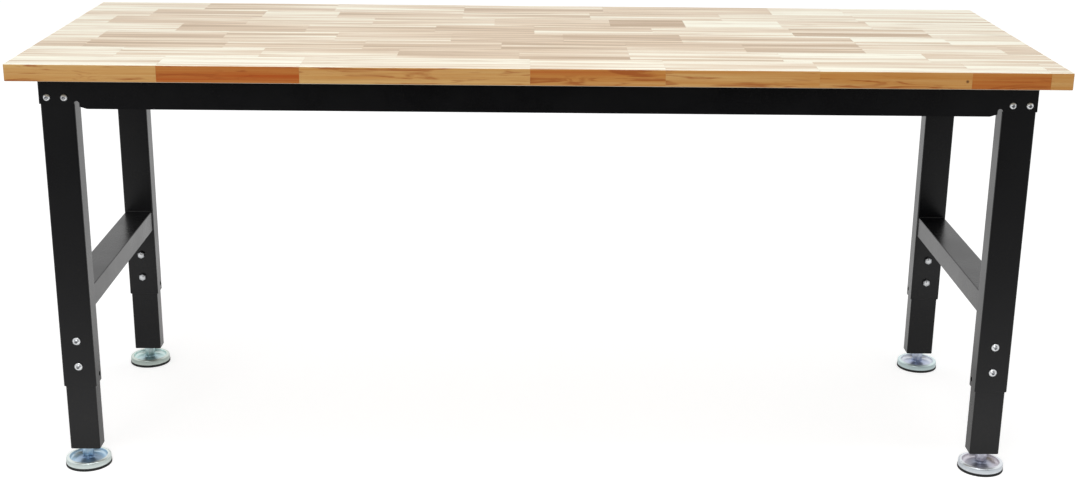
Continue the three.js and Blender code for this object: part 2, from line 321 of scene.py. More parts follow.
def coated_steel():
    """Black powder coat: faint orange peel, slightly uneven gloss."""
    n = Nodes("black_powder_coat")
    peel = n.noise(n.place(), scale=700, detail=2)
    speckle = n.noise(n.place(), scale=2600, detail=1)
    cloud = n.noise(n.place(), scale=9)
    n.set(Base_Color=n.mix(cloud, COAT_DARK, COAT_LIGHT))
    n.set(Roughness=n.uneven(cloud, low=0.22, high=0.29, grain=speckle, share=0.06))
    n.set(IOR=1.4)
    n.bump(peel, strength=0.05, distance=COARSE_BUMP)
    return n.material


def black_rubber():
    n = Nodes("black_rubber")
    mottle = n.noise(n.place(), scale=400)
    n.set(Base_Color=n.mix(mottle, RUBBER_DARK, RUBBER_LIGHT))
    n.set(Roughness=n.spread(mottle, low=0.65, high=0.85))
    n.bump(mottle, strength=0.25, distance=COARSE_BUMP)
    return n.material


# Zinc plating. Each kind runs between two colours where it is bright, and two darker ones for painted
# shade.
BOLT_BRIGHT = ((0.68, 0.7, 0.72), (0.85, 0.86, 0.87))
BOLT_SHADED = ((0.4, 0.41, 0.43), (0.4, 0.41, 0.43))
DISH_BRIGHT = ((0.5, 0.6, 0.74), (0.64, 0.72, 0.84))
DISH_SHADED = ((0.2, 0.28, 0.42), (0.3, 0.38, 0.52))
RIM_BRIGHT = ((0.69, 0.77, 0.75), (0.86, 0.92, 0.9))
RIM_SHADED = ((0.46, 0.53, 0.52), (0.6, 0.68, 0.66))
BOLT_SURFACE = {
    "cloud_scale": 60, "cloud_detail": 4, "grain_stretch": (1, 1, 0.2), "grain_scale": 900,
    "smooth": 0.2, "rough": 0.3, "grain_share": 0.1, "scratches": 0.1,
}
DISH_SURFACE = {
    "cloud_scale": 45, "cloud_detail": 3, "grain_stretch": (1, 1, 0.2), "grain_scale": 900,
    "smooth": 0.3, "rough": 0.38, "grain_share": 0.08, "scratches": 0.1,
}
RIM_SURFACE = {
    "cloud_scale": 70, "cloud_detail": 4, "grain_stretch": (1, 1, 4), "grain_scale": 500,
    "smooth": 0.22, "rough": 0.32, "grain_share": 0.1, "scratches": 0.12,
}

# How the zinc of each foot leans, as shares of red, green and blue
NO_CAST = (1, 1, 1)
DISH_CASTS = {
    "front_left": (1.1, 1.2, 1.2),
    "front_right": (1.35, 1.12, 1.0),
    "back_left": (1.35, 1.5, 1.15),
    "back_right": (1.5, 1.35, 1.35),
}
RIM_CASTS = {
    "front_left": (1.0, 1.0, 1.0),
    "front_right": (1.02, 0.97, 1.06),
    "back_left": (0.8, 0.82, 0.78),
    "back_right": (0.88, 0.95, 0.98),
}
MOST_REFLECTED = 0.92


def tinted(colour, cast):
    """A colour with each of its parts scaled by the cast's."""
    return tuple(min(MOST_REFLECTED, part * share) for part, share in zip(colour, cast))


def zinc_plate(name, bright, dull, cast, surface):
    """Zinc with soft clouds and fine scratches, darkened towards its painted shade colours where the mesh
    carries painted shade.
    """
    n = Nodes(name)
    # How much painted shade each point of the mesh gets
    depth = n.attribute("painted_shade", "Fac")
    cloud = n.noise(n.place(), scale=surface["cloud_scale"], detail=surface["cloud_detail"])
    grain = n.noise(n.place(surface["grain_stretch"]), scale=surface["grain_scale"], detail=2)
    clear = n.mix(cloud, *(tinted(colour, cast) for colour in bright))
    painted_shade_colour = n.mix(cloud, *(tinted(colour, cast) for colour in dull))
    n.set(Base_Color=n.mix(depth, clear, painted_shade_colour))
    n.set(Metallic=1.0)
    n.set(Roughness=n.uneven(cloud, surface["smooth"], surface["rough"], grain, surface["grain_share"]))
    n.bump(grain, strength=surface["scratches"], distance=FINE_BUMP)
    return n.material


# Wood. A small knot lies in the front edge, at a place along the bench and a depth below the top.
KNOT_ALONG = 732 * MM
KNOT_BELOW = 16 * MM
KNOT_RADIUS = 3.5 * MM
KNOT_HEART = 0.4 * KNOT_RADIUS
KNOT_SHARE = 0.85
KNOT_COLOUR = (0.1, 0.03, 0.01)
BROAD_DEPTH = 0.24
BAND_DEPTH = 0.48
LINE_DEPTH = 0.24
GLOSS_SPREAD = 0.1
END_PALE = (0.56, 0.36, 0.17)
END_DARK = (0.42, 0.22, 0.1)
END_RING = (0.3, 0.15, 0.06)
END_PORE = (0.2, 0.1, 0.04)


def stave_attributes(n):
    """The tone of each stave, and where its grain is taken from."""
    return n.attribute("stave_tone", "Fac"), n.attribute("stave_shift", "Vector")


def knot_share(n):
    """Greatest at the heart of the front edge's knot, falling to 0 at its radius."""
    low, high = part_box("worktop")
    apart = n.add("ShaderNodeVectorMath", operation="DISTANCE")
    n.link(n.place(), apart.inputs[0])
    apart.inputs[1].default_value = (KNOT_ALONG, low.y, high.z - KNOT_BELOW)
    return n.fit(apart.outputs["Value"], KNOT_HEART, KNOT_RADIUS, KNOT_SHARE, 0.0)


def wood(name, pale, middle, dark, streak, roughness, shine, figure_depth, flame_scale, flame_share):
    """Lacquered wood with its grain along X. Each stave has its own tone and its own piece of grain."""
    n = Nodes(name)
    tone, shift = stave_attributes(n)
    broad = n.noise(n.place((1.3, 24, 24), shift), detail=2, distortion=0.7)
    bands = n.noise(n.place((1.2, 60, 60), shift), distortion=0.8)
    lines = n.noise(n.place((2.5, 260, 260), shift), distortion=0.3)
    fibre = n.noise(n.place((14, 900, 900), shift))
    flame = n.noise(n.place(flame_scale, shift), distortion=1.6)
    pores = n.noise(n.place((60, 1500, 1500), shift), detail=1)
    figure = n.spread(broad, -BROAD_DEPTH, BROAD_DEPTH)
    figure = n.math("ADD", figure, n.spread(bands, -BAND_DEPTH, BAND_DEPTH))
    figure = n.math("ADD", figure, n.spread(lines, -LINE_DEPTH, LINE_DEPTH))
    warmth = n.math("ADD", tone, n.math("MULTIPLY", figure, figure_depth), clamp=True)
    light = n.cover(pale, middle, warmth, low=0.0, high=0.5, share=1.0)
    ground = n.cover(light, dark, warmth, low=0.5, high=1.0, share=1.0)
    flamed = n.cover(ground, streak, flame, low=0.56, high=0.68, share=flame_share)
    lined = n.cover(flamed, streak, fibre, low=0.45, high=0.75, share=0.2)
    pored = n.cover(lined, streak, pores, low=0.66, high=0.76, share=0.3)
    n.set(Base_Color=n.mix(knot_share(n), pored, KNOT_COLOUR))
    n.set(Roughness=n.spread(lines, roughness, roughness + GLOSS_SPREAD))
    n.set(Specular_IOR_Level=shine)
    n.bump(fibre, strength=0.12, distance=FINE_BUMP)
    return n.material


def end_grain():
    """The worktop's sawn ends: growth rings cut across, darker than the faces."""
    n = Nodes("wood_end_grain")
    tone, shift = stave_attributes(n)
    rings = n.noise(n.place((8, 40, 150), shift), distortion=0.5)
    pores = n.noise(n.place((900, 900, 900), shift), detail=2)
    ground = n.mix(tone, END_PALE, END_DARK)
    ringed = n.cover(ground, END_RING, rings, low=0.45, high=0.65, share=0.45)
    n.set(Base_Color=n.cover(ringed, END_PORE, pores, low=0.6, high=0.75, share=0.4))
    n.set(Roughness=n.spread(pores, low=0.4, high=0.55))
    n.bump(pores, strength=0.1, distance=FINE_BUMP)
    return n.material


black = coated_steel()
rubber = black_rubber()
zinc = zinc_plate("zinc_plating", BOLT_BRIGHT, BOLT_SHADED, NO_CAST, BOLT_SURFACE)
dish_zinc = {}
rim_zinc = {}
for foot in CORNERS:
    dish_zinc[foot] = zinc_plate(
        "blued_zinc_" + foot, DISH_BRIGHT, DISH_SHADED, DISH_CASTS[foot], DISH_SURFACE)
    rim_zinc[foot] = zinc_plate("pale_zinc_" + foot, RIM_BRIGHT, RIM_SHADED, RIM_CASTS[foot], RIM_SURFACE)
# The faces that look up get paler colours than the edges: partly the wood's own tone, partly painted light
# for the light that washes over the top
top_wood = wood(
    "worktop_faces",
    pale=(0.975, 0.95, 0.79),
    middle=(0.73, 0.57, 0.4),
    dark=(0.45, 0.305, 0.175),
    streak=(0.48, 0.325, 0.19),
    roughness=0.36,
    shine=0.5,
    figure_depth=1.0,
    flame_scale=(4, 40, 40),
    flame_share=0.3,
)
edge_wood = wood(
    "worktop_edges",
    pale=(0.65, 0.4, 0.145),
    middle=(0.54, 0.23, 0.047),
    dark=(0.43, 0.08, 0.004),
    streak=(0.32, 0.06, 0.004),
    roughness=0.34,
    shine=0.28,
    figure_depth=0.5,
    flame_scale=(7, 80, 80),
    flame_share=0.7,
)
end_wood = end_grain()


# Worktop: staves glued edge to edge, with hairline joints. Rows run along the bench, from its front edge to
# its back one. Each row lists where its staves meet, in millimetres from the middle, and the tone of each
# stave: w whitish, p pale, m middle, d dark.
STAVE_ROWS = (
    ((-656, -412, -18, 214, 478, 740, 876), "wwppwwww"),
    ((-747, -495, -253, -37, 159, 429, 690), "wpmmmppw"),
    ((-825, -573, -321, -70, 159, 375, 591, 849), "mmmmdmdpm"),
    ((-820, -590, -381, -165, 45, 267, 591, 770), "pmmmddmwp"),
    ((-693, -447, -200, -9, 219, 489, 753), "pdmdmpdp"),
    ((-843, -573, -327, -87, 141, 289, 480, 657), "wmpmmdppw"),
    ((-780, -555, -405, -153, 105, 370, 645), "pmpmmpww"),
    ((-687, -419, -153, 135, 483, 635), "wmpmmpw"),
)
# Tones of the front row where it shows as the front edge
EDGE_TONES = "wdpmppdp"
TONES = {"w": 0.17, "p": 0.31, "m": 0.52, "d": 0.7}
TONE_SPREAD = 0.06
GRAIN_SPREAD = 40
STAVE_SEED = 7
JOINT_HALF = 0.04 * MM
TOP_ROUND = 1.5 * MM
TOP_ROUND_STEPS = 3
ROUND_PROFILE = 0.5
ON_RIM = 0.01 * MM
# A face looks along an axis when this much of its normal does
FACING = 0.7
FACE_WOOD, EDGE_WOOD, END_WOOD = range(3)


def drawn_in(stops, index):
    """One stretch between stops, drawn in by half a joint where another stretch meets it."""
    start = stops[index] + (JOINT_HALF if index else 0)
    end = stops[index + 1] - (JOINT_HALF if index + 2 < len(stops) else 0)
    return start, end


def stave_boxes(low, high):
    """Row, column and corners of each stave."""
    row_depth = (high.y - low.y) / len(STAVE_ROWS)
    row_stops = [low.y + row * row_depth for row in range(len(STAVE_ROWS) + 1)]
    for row, (joints, _) in enumerate(STAVE_ROWS):
        stops = [low.x] + [joint * MM for joint in joints] + [high.x]
        y0, y1 = drawn_in(row_stops, row)
        for column in range(len(stops) - 1):
            x0, x1 = drawn_in(stops, column)
            yield row, column, Vector((x0, y0, low.z)), Vector((x1, y1, high.z))


def on_rim(edge, low, high):
    """Whether an edge lies along one of the slab's own twelve edges."""
    sides = 0
    for axis in range(3):
        for limit in (low[axis], high[axis]):
            if all(abs(vert.co[axis] - limit) < ON_RIM for vert in edge.verts):
                sides += 1
    return sides >= 2


def add_stave(bm, corner, far_corner, low, high):
    """Adds one stave, rounded where it has the slab's own edges, and returns its faces."""
    size = Matrix.Diagonal((far_corner - corner).to_4d())
    place = Matrix.Translation((corner + far_corner) / 2)
    verts = bmesh.ops.create_cube(bm, size=1, matrix=place @ size)["verts"]
    edges = {edge: None for vert in verts for edge in vert.link_edges}
    rim = [edge for edge in edges if on_rim(edge, low, high)]
    if rim:
        rounded = bmesh.ops.bevel(
            bm, geom=rim, offset=TOP_ROUND, segments=TOP_ROUND_STEPS, profile=ROUND_PROFILE, affect="EDGES")
        verts = [vert for vert in verts if vert.is_valid] + rounded["verts"]
    return {face for vert in verts for face in vert.link_faces}


def make_worktop():
    low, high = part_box("worktop")
    draw = random.Random(STAVE_SEED)
    bm = bmesh.new()
    tone_layer = bm.faces.layers.float.new("stave_tone")
    shift_layer = bm.faces.layers.float_vector.new("stave_shift")
    for row, column, corner, far_corner in stave_boxes(low, high):
        tone = TONES[STAVE_ROWS[row][1][column]] + draw.uniform(-TONE_SPREAD, TONE_SPREAD)
        edge_tone = TONES[EDGE_TONES[column]] if row == 0 else tone
        shift = Vector([draw.uniform(0, GRAIN_SPREAD) for _ in range(3)])
        for face in add_stave(bm, corner, far_corner, low, high):
            face.normal_update()
            flat = abs(face.normal.z) > FACING
            lengthwise = abs(face.normal.y) > FACING
            face.material_index = FACE_WOOD if flat else EDGE_WOOD if lengthwise else END_WOOD
            face[tone_layer] = tone if flat else edge_tone
            face[shift_layer] = shift
    bmesh.ops.recalc_face_normals(bm, faces=bm.faces)
    mesh = bpy.data.meshes.new("worktop_staves")
    bm.to_mesh(mesh)
    bm.free()
    shade(mesh, WOOD_SMOOTH)
    piece = add_piece("worktop_staves", mesh, "frame", "wood", top_wood, "worktop")
    piece.data.materials.append(edge_wood)
    piece.data.materials.append(end_wood)
    flatten_shading(piece)


# Legs: rectangular tubes. An outer leg has a hole in its side towards the bench's middle, and an inner leg
# has a slot through its front and back.
TUBE_WALL = 2 * MM
TUBE_CORNER = 3 * MM
TUBE_CORNER_STEPS = 6
TUBE_EASE = 0.5 * MM
SIDE_HOLE_RADIUS = 4.5 * MM
SIDE_HOLE_REACH = 2 * TUBE_WALL
SIDE_HOLE_SIDES = 32
SIDE_HOLE_RISE = 15 * MM
SIDE_HOLE_BACK = 8 * MM
SLOT_HALF = 4.5 * MM
SLOT_STEPS = 12
LEG_TRAVEL = 250 * MM


def rounded_loop(width, depth, radius, z):
    """Points round a rectangle whose corners are rounded."""
    loop = []
    for turn, (sx, sy) in enumerate(((1, 1), (-1, 1), (-1, -1), (1, -1))):
        for step in range(TUBE_CORNER_STEPS + 1):
            angle = QUARTER_TURN * (turn + step / TUBE_CORNER_STEPS)
            x = sx * (width / 2 - radius) + radius * math.cos(angle)
            y = sy * (depth / 2 - radius) + radius * math.sin(angle)
            loop.append(Vector((x, y, z)))
    return loop


def tube_loops(low, high):
    """Loops round a tube's wall: outside, over its eased upper end, inside and back under its lower end."""
    middle = (low + high) / 2
    offset = Vector((middle.x, middle.y, 0))

    def skin(inset, z):
        width = high.x - low.x - 2 * inset
        depth = high.y - low.y - 2 * inset
        return [point + offset for point in rounded_loop(width, depth, TUBE_CORNER - inset, z)]

    outer, inner = TUBE_EASE, TUBE_WALL - TUBE_EASE
    foot, neck = low.z + TUBE_EASE, high.z - TUBE_EASE
    outline = [
        (0, foot), (0, neck), (outer, high.z), (inner, high.z),
        (TUBE_WALL, neck), (TUBE_WALL, foot), (inner, low.z), (outer, low.z),
    ]
    return [skin(inset, z) for inset, z in outline]


def tube_mesh(name, low, high):
    def build(bm):
        bridge(bm, tube_loops(low, high), closed=True)
    return mesh_from(name, build, TUBE_SMOOTH)


def make_outer_leg(corner):
    node = "outer_leg_" + corner
    low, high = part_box(node)
    piece = add_piece(node + "_tube", tube_mesh(node, low, high), "frame", "black_steel", black, node)
    middle = (low + high) / 2
    inner_x = high.x if middle.x < 0 else low.x
    hole_place = Vector((inner_x, middle.y + SIDE_HOLE_BACK, low.z + SIDE_HOLE_RISE))

    def build(bm):
        rows = [(SIDE_HOLE_RADIUS, -SIDE_HOLE_REACH), (SIDE_HOLE_RADIUS, SIDE_HOLE_REACH)]
        spun(bm, rows, SIDE_HOLE_SIDES)
        move(bm, Matrix.Translation(hole_place) @ Matrix.Rotation(QUARTER_TURN, 4, "Y"))
    carve(piece, build)
    flatten_shading(piece)


def bolt_height(node):
    low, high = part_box(node)
    return (low.z + high.z) / 2


def make_inner_leg(corner):
    node = "inner_leg_" + corner
    low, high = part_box(node)
    mesh = tube_mesh(node, low, high)
    piece = add_piece(node + "_tube", mesh, "leg_" + corner, "black_steel", black, node)
    middle = (low + high) / 2
    bottom = bolt_height("leg_bolt_" + corner + "_lower")
    top = bolt_height("leg_bolt_" + corner + "_upper") + LEG_TRAVEL

    def build(bm):
        outline = []
        for centre, start in ((top, 0), (bottom, math.pi)):
            for step in range(SLOT_STEPS + 1):
                angle = start + math.pi * step / SLOT_STEPS
                x = middle.x + SLOT_HALF * math.cos(angle)
                outline.append((x, centre + SLOT_HALF * math.sin(angle)))
        reach = high.y - low.y
        bridge(bm, [[Vector((x, y, z)) for x, z in outline] for y in (low.y - reach, high.y + reach)])
    carve(piece, build)
    flatten_shading(piece)


# Bolts with their nuts. A socket's radii are shares of its width over flats.
LEG_HEAD_RADIUS = 7.6 * MM
BEAM_HEAD_RADIUS = 6.4 * MM
HEAD_HEIGHT = 4.4 * MM
HEAD_WALL = 0.9 * MM
HEAD_EDGE = 0.3 * MM
DOME_STEPS = 6
BOLT_RADIUS = 4 * MM
BOLT_SIDES = 36
BOLT_END = 2.5 * MM
THREAD_INSET = 0.4 * MM
TIP_INSET = 1.2 * MM
TIP_LENGTH = 0.8 * MM
SOCKET_FLATS = 5 * MM
SOCKET_LIP = 0.66 * SOCKET_FLATS
SOCKET_MOUTH = 0.62 * SOCKET_FLATS
SOCKET_HEART = 0.1 * SOCKET_FLATS
SOCKET_DEPTH = 2.4 * MM
MOUTH_DROP = 0.1 * MM
FLATS_DROP = 0.5 * MM
HEART_DROP = 0.6 * MM
# What lies nearer than this to a head's axis is in its socket
IN_SOCKET = SOCKET_LIP - 0.15 * MM
NUT_FLATS = 13 * MM
NUT_HEIGHT = 6.5 * MM
NUT_CHAMFER = 0.7 * MM
# Share of painted shade on a bolt's nut
NUT_PAINTED_SHADE = 0.8


def dome(wide, base, narrow, top):
    """Rows along the part of a ball that narrows from one radius to another between two heights."""
    centre = (top + base) / 2 - (wide ** 2 - narrow ** 2) / (2 * (top - base))
    size = math.hypot(narrow, top - centre)
    start = math.degrees(math.asin((base - centre) / size))
    end = math.degrees(math.asin((top - centre) / size))
    return arc(0, centre, size, start, end, DOME_STEPS)


def bolt_rows(length, head_radius):
    """A round-headed socket bolt with its nut, its head up and its middle at height 0."""
    head_top = length / 2
    seat = head_top - HEAD_HEIGHT
    end = -length / 2
    nut_low = end + BOLT_END
    nut_high = nut_low + NUT_HEIGHT
    thread = BOLT_RADIUS - THREAD_INSET
    rows = [(BOLT_RADIUS - TIP_INSET, end), (thread, end + TIP_LENGTH), (thread, nut_low)]
    rows += hexagon(NUT_FLATS, nut_low, nut_high, NUT_CHAMFER)
    rows += [(BOLT_RADIUS, nut_high), (BOLT_RADIUS, seat)]
    rows += [(head_radius - HEAD_EDGE, seat), (head_radius, seat + HEAD_EDGE)]
    rows += dome(head_radius, seat + HEAD_WALL, SOCKET_LIP, head_top)
    rows += [
        (SOCKET_MOUTH, head_top - MOUTH_DROP),
        (SOCKET_FLATS, head_top - FLATS_DROP, "hex"),
        (SOCKET_FLATS, head_top - SOCKET_DEPTH, "hex"),
        (SOCKET_HEART, head_top - SOCKET_DEPTH - HEART_DROP),
    ]
    return rows


def make_bolt(node, head_radius, outward):
    """A bolt along Y, its head towards outward."""
    low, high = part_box(node)
    length = high.y - low.y
    middle = (low + high) / 2

    def build(bm):
        spun(bm, bolt_rows(length, head_radius), BOLT_SIDES)
        move(bm, Matrix.Translation(middle) @ Matrix.Rotation(-outward * QUARTER_TURN, 4, "X"))
    mesh = mesh_from(node, build, TURNED_SMOOTH)

    def painted_shade_at(place):
        """Painted shade: full in the socket, less on the nut, none elsewhere."""
        off = place - middle
        along = off.y * outward
        out = math.hypot(off.x, off.z)
        if along < 0:
            return NUT_PAINTED_SHADE if out > BOLT_RADIUS else 0
        return 1 if along > length / 2 - HEAD_HEIGHT and out < IN_SOCKET else 0
    set_painted_shade(mesh, painted_shade_at)
    add_piece(node + "_turned", mesh, "frame", "zinc", zinc, node)


# Foot studs
PIVOT_RADIUS = 5 * MM
PIVOT_LENGTH = 8.3 * MM
HEX_FLATS = 19 * MM
HEX_HEIGHT = 17.2 * MM
HEX_CHAMFER = 0.9 * MM
STUD_RADIUS = 6 * MM
STUD_SIDES = 36
STUD_PITCH = 1.75 * MM
STUD_TIP = 0.8 * MM
STUD_TIP_SHARE = 0.8
STUD_PAINTED_SHADE = 0.45
THREAD_DEPTH = 0.9 * MM
THREAD_SIDES = 24
THREAD_STEPS = 4
THREAD_RISE = 0.3 * MM
CORE_RADIUS = STUD_RADIUS - THREAD_DEPTH
CORE_SEAT = 0.02 * MM
CORE_LENGTH = 0.6 * MM


def thread_loop(z):
    """One turn round a stud at a height, in and out as the thread passes."""
    loop = []
    for index, angle in enumerate(turns(THREAD_SIDES)):
        phase = (z / STUD_PITCH - index / THREAD_SIDES) % 1
        depth = THREAD_DEPTH * abs(2 * phase - 1)
        loop.append(round_point(STUD_RADIUS - depth, angle, z))
    return loop


def make_stud(corner):
    node = "foot_stud_" + corner
    low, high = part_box(node)
    hex_low = low.z + PIVOT_LENGTH
    hex_high = hex_low + HEX_HEIGHT
    rows = [(PIVOT_RADIUS, low.z), (PIVOT_RADIUS, hex_low)]
    rows += hexagon(HEX_FLATS, hex_low, hex_high, HEX_CHAMFER)
    rows += [(CORE_RADIUS, hex_high + CORE_SEAT), (CORE_RADIUS, hex_high + CORE_LENGTH)]

    def build(bm):
        spun(bm, rows, STUD_SIDES)
        start = hex_high + THREAD_RISE
        count = int((high.z - STUD_TIP - start) / STUD_PITCH * THREAD_STEPS)
        loops = [thread_loop(start + STUD_PITCH * k / THREAD_STEPS) for k in range(count + 1)]
        tip = [Vector((point.x * STUD_TIP_SHARE, point.y * STUD_TIP_SHARE, high.z)) for point in loops[-1]]
        bridge(bm, loops + [tip])
        move(bm, stand_at((low + high) / 2))
    mesh = mesh_from(node, build, TURNED_SMOOTH)
    # The whole stud gets an even painted shade
    set_painted_shade(mesh, lambda place: STUD_PAINTED_SHADE)
    add_piece(node + "_threaded", mesh, "stud_" + corner, "zinc", dish_zinc[corner], node)


# Foot discs
DISC_HEIGHT = 13 * MM
DISC_SIDES = 96
RIM_ROUND = 2.5 * MM
RIM_WIDTH = 7 * MM
RIM_EDGE = 1 * MM
DISH_DEPTH = 8 * MM
DISH_CURVE = DISH_DEPTH - RIM_ROUND
DISH_STEPS = 8
DISH_SLOPE = 16
DISH_REACH = 0.5 * MM
HUB_RADIUS = 10.5 * MM
HUB_CURVE = 2 * MM
HUB_ROUND = 1 * MM
BORE_RADIUS = PIVOT_RADIUS + 0.3 * MM
BORE_RISE = 1 * MM
RIM_ZINC, DISH_ZINC = range(2)


def disc_rows(radius, low, high):
    """A pressed cup: a thick rim, a bowl that curves down from it, and a hub in the middle."""
    rim = low + DISC_HEIGHT
    dish = rim - DISH_DEPTH
    dish_edge = radius - RIM_WIDTH
    rim_middle = radius - RIM_ROUND
    rows = [(PIVOT_RADIUS, low), (rim_middle, low)]
    rows += arc(rim_middle, low + RIM_ROUND, RIM_ROUND, -90, 0)
    rows += arc(rim_middle, rim - RIM_ROUND, RIM_ROUND, 0, 90)
    rows += arc(dish_edge + RIM_EDGE, rim - RIM_EDGE, RIM_EDGE, 90, 180)
    rows += arc(dish_edge - DISH_CURVE, dish + DISH_CURVE, DISH_CURVE, 0, -90 - DISH_SLOPE, DISH_STEPS)
    hub_foot = dish + (rows[-1][0] - HUB_RADIUS) * math.tan(math.radians(DISH_SLOPE))
    rows += arc(HUB_RADIUS + HUB_CURVE, hub_foot + HUB_CURVE, HUB_CURVE, -90 - DISH_SLOPE, -180)
    rows += arc(HUB_RADIUS - HUB_ROUND, high - HUB_ROUND, HUB_ROUND, 0, 90)
    rows += [(BORE_RADIUS, high), (BORE_RADIUS, low + BORE_RISE)]
    return rows


def make_disc(corner):
    node = "foot_disc_" + corner
    low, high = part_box(node)
    centre = (low + high) / 2
    radius = (high.x - low.x) / 2
    dish_edge = radius - RIM_WIDTH

    def build(bm):
        spun(bm, disc_rows(radius, low.z, high.z), DISC_SIDES)
        for face in bm.faces:
            middle = face.calc_center_median()
            in_dish = middle.xy.length < dish_edge + DISH_REACH and middle.z > low.z
            face.material_index = DISH_ZINC if in_dish else RIM_ZINC
        move(bm, stand_at(centre))
    mesh = mesh_from(node, build, FOOT_SMOOTH)

    def painted_shade_at(place):
        """Painted shade, rising from 0 at the dish's edge to its hub, and from the rim's top fading down
        its outer wall.
        """
        out = (place - centre).xy.length
        if out < dish_edge:
            return min(1, (dish_edge - out) / (dish_edge - HUB_RADIUS))
        if out < radius - RIM_ROUND:
            return 0
        drop = low.z + DISC_HEIGHT - place.z
        if drop < RIM_ROUND:
            return drop / RIM_ROUND
        return 1 - (drop - RIM_ROUND) / (DISC_HEIGHT - RIM_ROUND)
    set_painted_shade(mesh, painted_shade_at)
    piece = add_piece(node + "_pressed", mesh, "foot_" + corner, "zinc", rim_zinc[corner], node)
    piece.data.materials.append(dish_zinc[corner])


# Foot pads
PAD_BULGE = 1.7 * MM
PAD_BORE = 4 * MM
PAD_SEAT = 0.05 * MM
PAD_ROUND = 1 * MM
PAD_INSET = 1.2 * MM
PAD_FOOT_ANGLE = -80
PAD_LIP = 2 * MM
LIP_ROUND = 0.3 * MM
LIP_STEPS = 3
LIP_ANGLE = -14


def half_width(node):
    low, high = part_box(node)
    return (high.x - low.x) / 2


def make_pad(corner):
    """A rubber pad whose lip laps over the cup's rounded lower edge."""
    node = "foot_pad_" + corner
    low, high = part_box(node)
    radius = half_width(node) + PAD_BULGE
    cup_edge = half_width("foot_disc_" + corner) - RIM_ROUND
    lip = high.z + PAD_LIP
    rows = [(PAD_BORE, low.z), (radius - PAD_INSET, low.z)]
    rows += arc(radius - PAD_ROUND, low.z + PAD_ROUND, PAD_ROUND, PAD_FOOT_ANGLE, 0)
    rows += arc(radius - LIP_ROUND, lip - LIP_ROUND, LIP_ROUND, 0, 90, LIP_STEPS)
    rows += arc(cup_edge, high.z + RIM_ROUND, RIM_ROUND + PAD_SEAT, LIP_ANGLE, -90)
    rows += [(PAD_BORE, high.z - PAD_SEAT)]

    def build(bm):
        spun(bm, rows, DISC_SIDES)
        move(bm, stand_at((low + high) / 2))
    mesh = mesh_from(node, build, FOOT_SMOOTH)
    add_piece(node + "_moulded", mesh, "foot_" + corner, "rubber", rubber, node)


# Stretchers and rails: sheet folded to an upturned channel
SHEET = 2.5 * MM
FOLD_RADIUS = 1.6 * MM
INNER_FOLD = 0.4 * MM
FOLD_STEPS = 5
SHEET_EASE = 0.4 * MM


def channel_skin(low, high, foot, inset, radius):
    """Points up a channel's left side, over its top and down its right side, with rounded folds."""
    left = low.x + inset + radius
    right = high.x - inset - radius
    top = high.z - inset - radius
    fold = []
    for step in range(FOLD_STEPS + 1):
        angle = QUARTER_TURN * step / FOLD_STEPS
        fold.append((radius * math.cos(angle), top + radius * math.sin(angle)))
    skin = [(low.x + inset, foot)]
    skin += [(left - reach, z) for reach, z in fold]
    skin += [(right + reach, z) for reach, z in reversed(fold)]
    skin += [(high.x - inset, foot)]
    return skin


def channel_outline(low, high, ease):
    """Points round a channel's section, with its cut edges drawn in by ease."""
    foot = low.z + ease
    outside = channel_skin(low, high, foot, ease, FOLD_RADIUS - ease)
    inside = channel_skin(low, high, foot, SHEET - ease, INNER_FOLD + ease)
    return outside + inside[::-1]


def make_channel(node):
    low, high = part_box(node)
    ends = ((low.y, SHEET_EASE), (low.y + SHEET_EASE, 0), (high.y - SHEET_EASE, 0), (high.y, SHEET_EASE))

    def build(bm):
        bridge(bm, [[Vector((x, y, z)) for x, z in channel_outline(low, high, ease)] for y, ease in ends])
    mesh = mesh_from(node, build, FOLDED_SMOOTH)
    flatten_shading(add_piece(node + "_folded", mesh, "frame", "black_steel", black, node))


# Weld beads where stretchers and rails meet the legs
BEAD_RADIUS = 1.6 * MM
BEAD_STEP = 1.2 * MM
BEAD_RIPPLE = 0.12
BEAD_SIDES = 10
BACKWARD = Vector((0, 1, 0))


def add_bead(bm, start, end):
    """A rippled bead from start to end."""
    length = math.hypot(end.x - start.x, end.z - start.z)
    count = int(length / BEAD_STEP)
    along = (end - start).normalized()
    across = Vector((along.z, 0, -along.x))
    loops = []
    for k in range(count + 1):
        centre = start + along * (length * k / count)
        radius = BEAD_RADIUS * (1 - BEAD_RIPPLE * (k % 2))
        ring = [across * math.cos(angle) + BACKWARD * math.sin(angle) for angle in turns(BEAD_SIDES)]
        loops.append([centre + radius * point for point in ring])
    bridge(bm, loops)


def make_weld(node, side):
    """Beads up one side of a channel's end, over its top and down the other side."""
    low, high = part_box(node)
    y = high.y if side > 0 else low.y
    corners = ((low.x, low.z), (low.x, high.z), (high.x, high.z), (high.x, low.z))
    path = [Vector((x, y, z)) for x, z in corners]

    def build(bm):
        for start, end in zip(path, path[1:]):
            add_bead(bm, start, end)
    mesh = mesh_from(node, build, BEAD_SMOOTH)
    add_piece(node + ("_back_weld" if side > 0 else "_front_weld"), mesh, "frame", "black_steel", black)


# Beams keep their solids with the edges eased. Foot nuts and top screws keep theirs as they are.
BEAM_EASE = 0.7 * MM
EASE_STEPS = 2
EASE_ANGLE = 40


def dress_solid(node, material, ease_width=0):
    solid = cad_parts[node]
    solid.data.materials.clear()
    solid.data.materials.append(material)
    if ease_width:
        ease = solid.modifiers.new("eased_edges", "BEVEL")
        ease.width = ease_width
        ease.segments = EASE_STEPS
        ease.limit_method = "ANGLE"
        ease.angle_limit = math.radians(EASE_ANGLE)


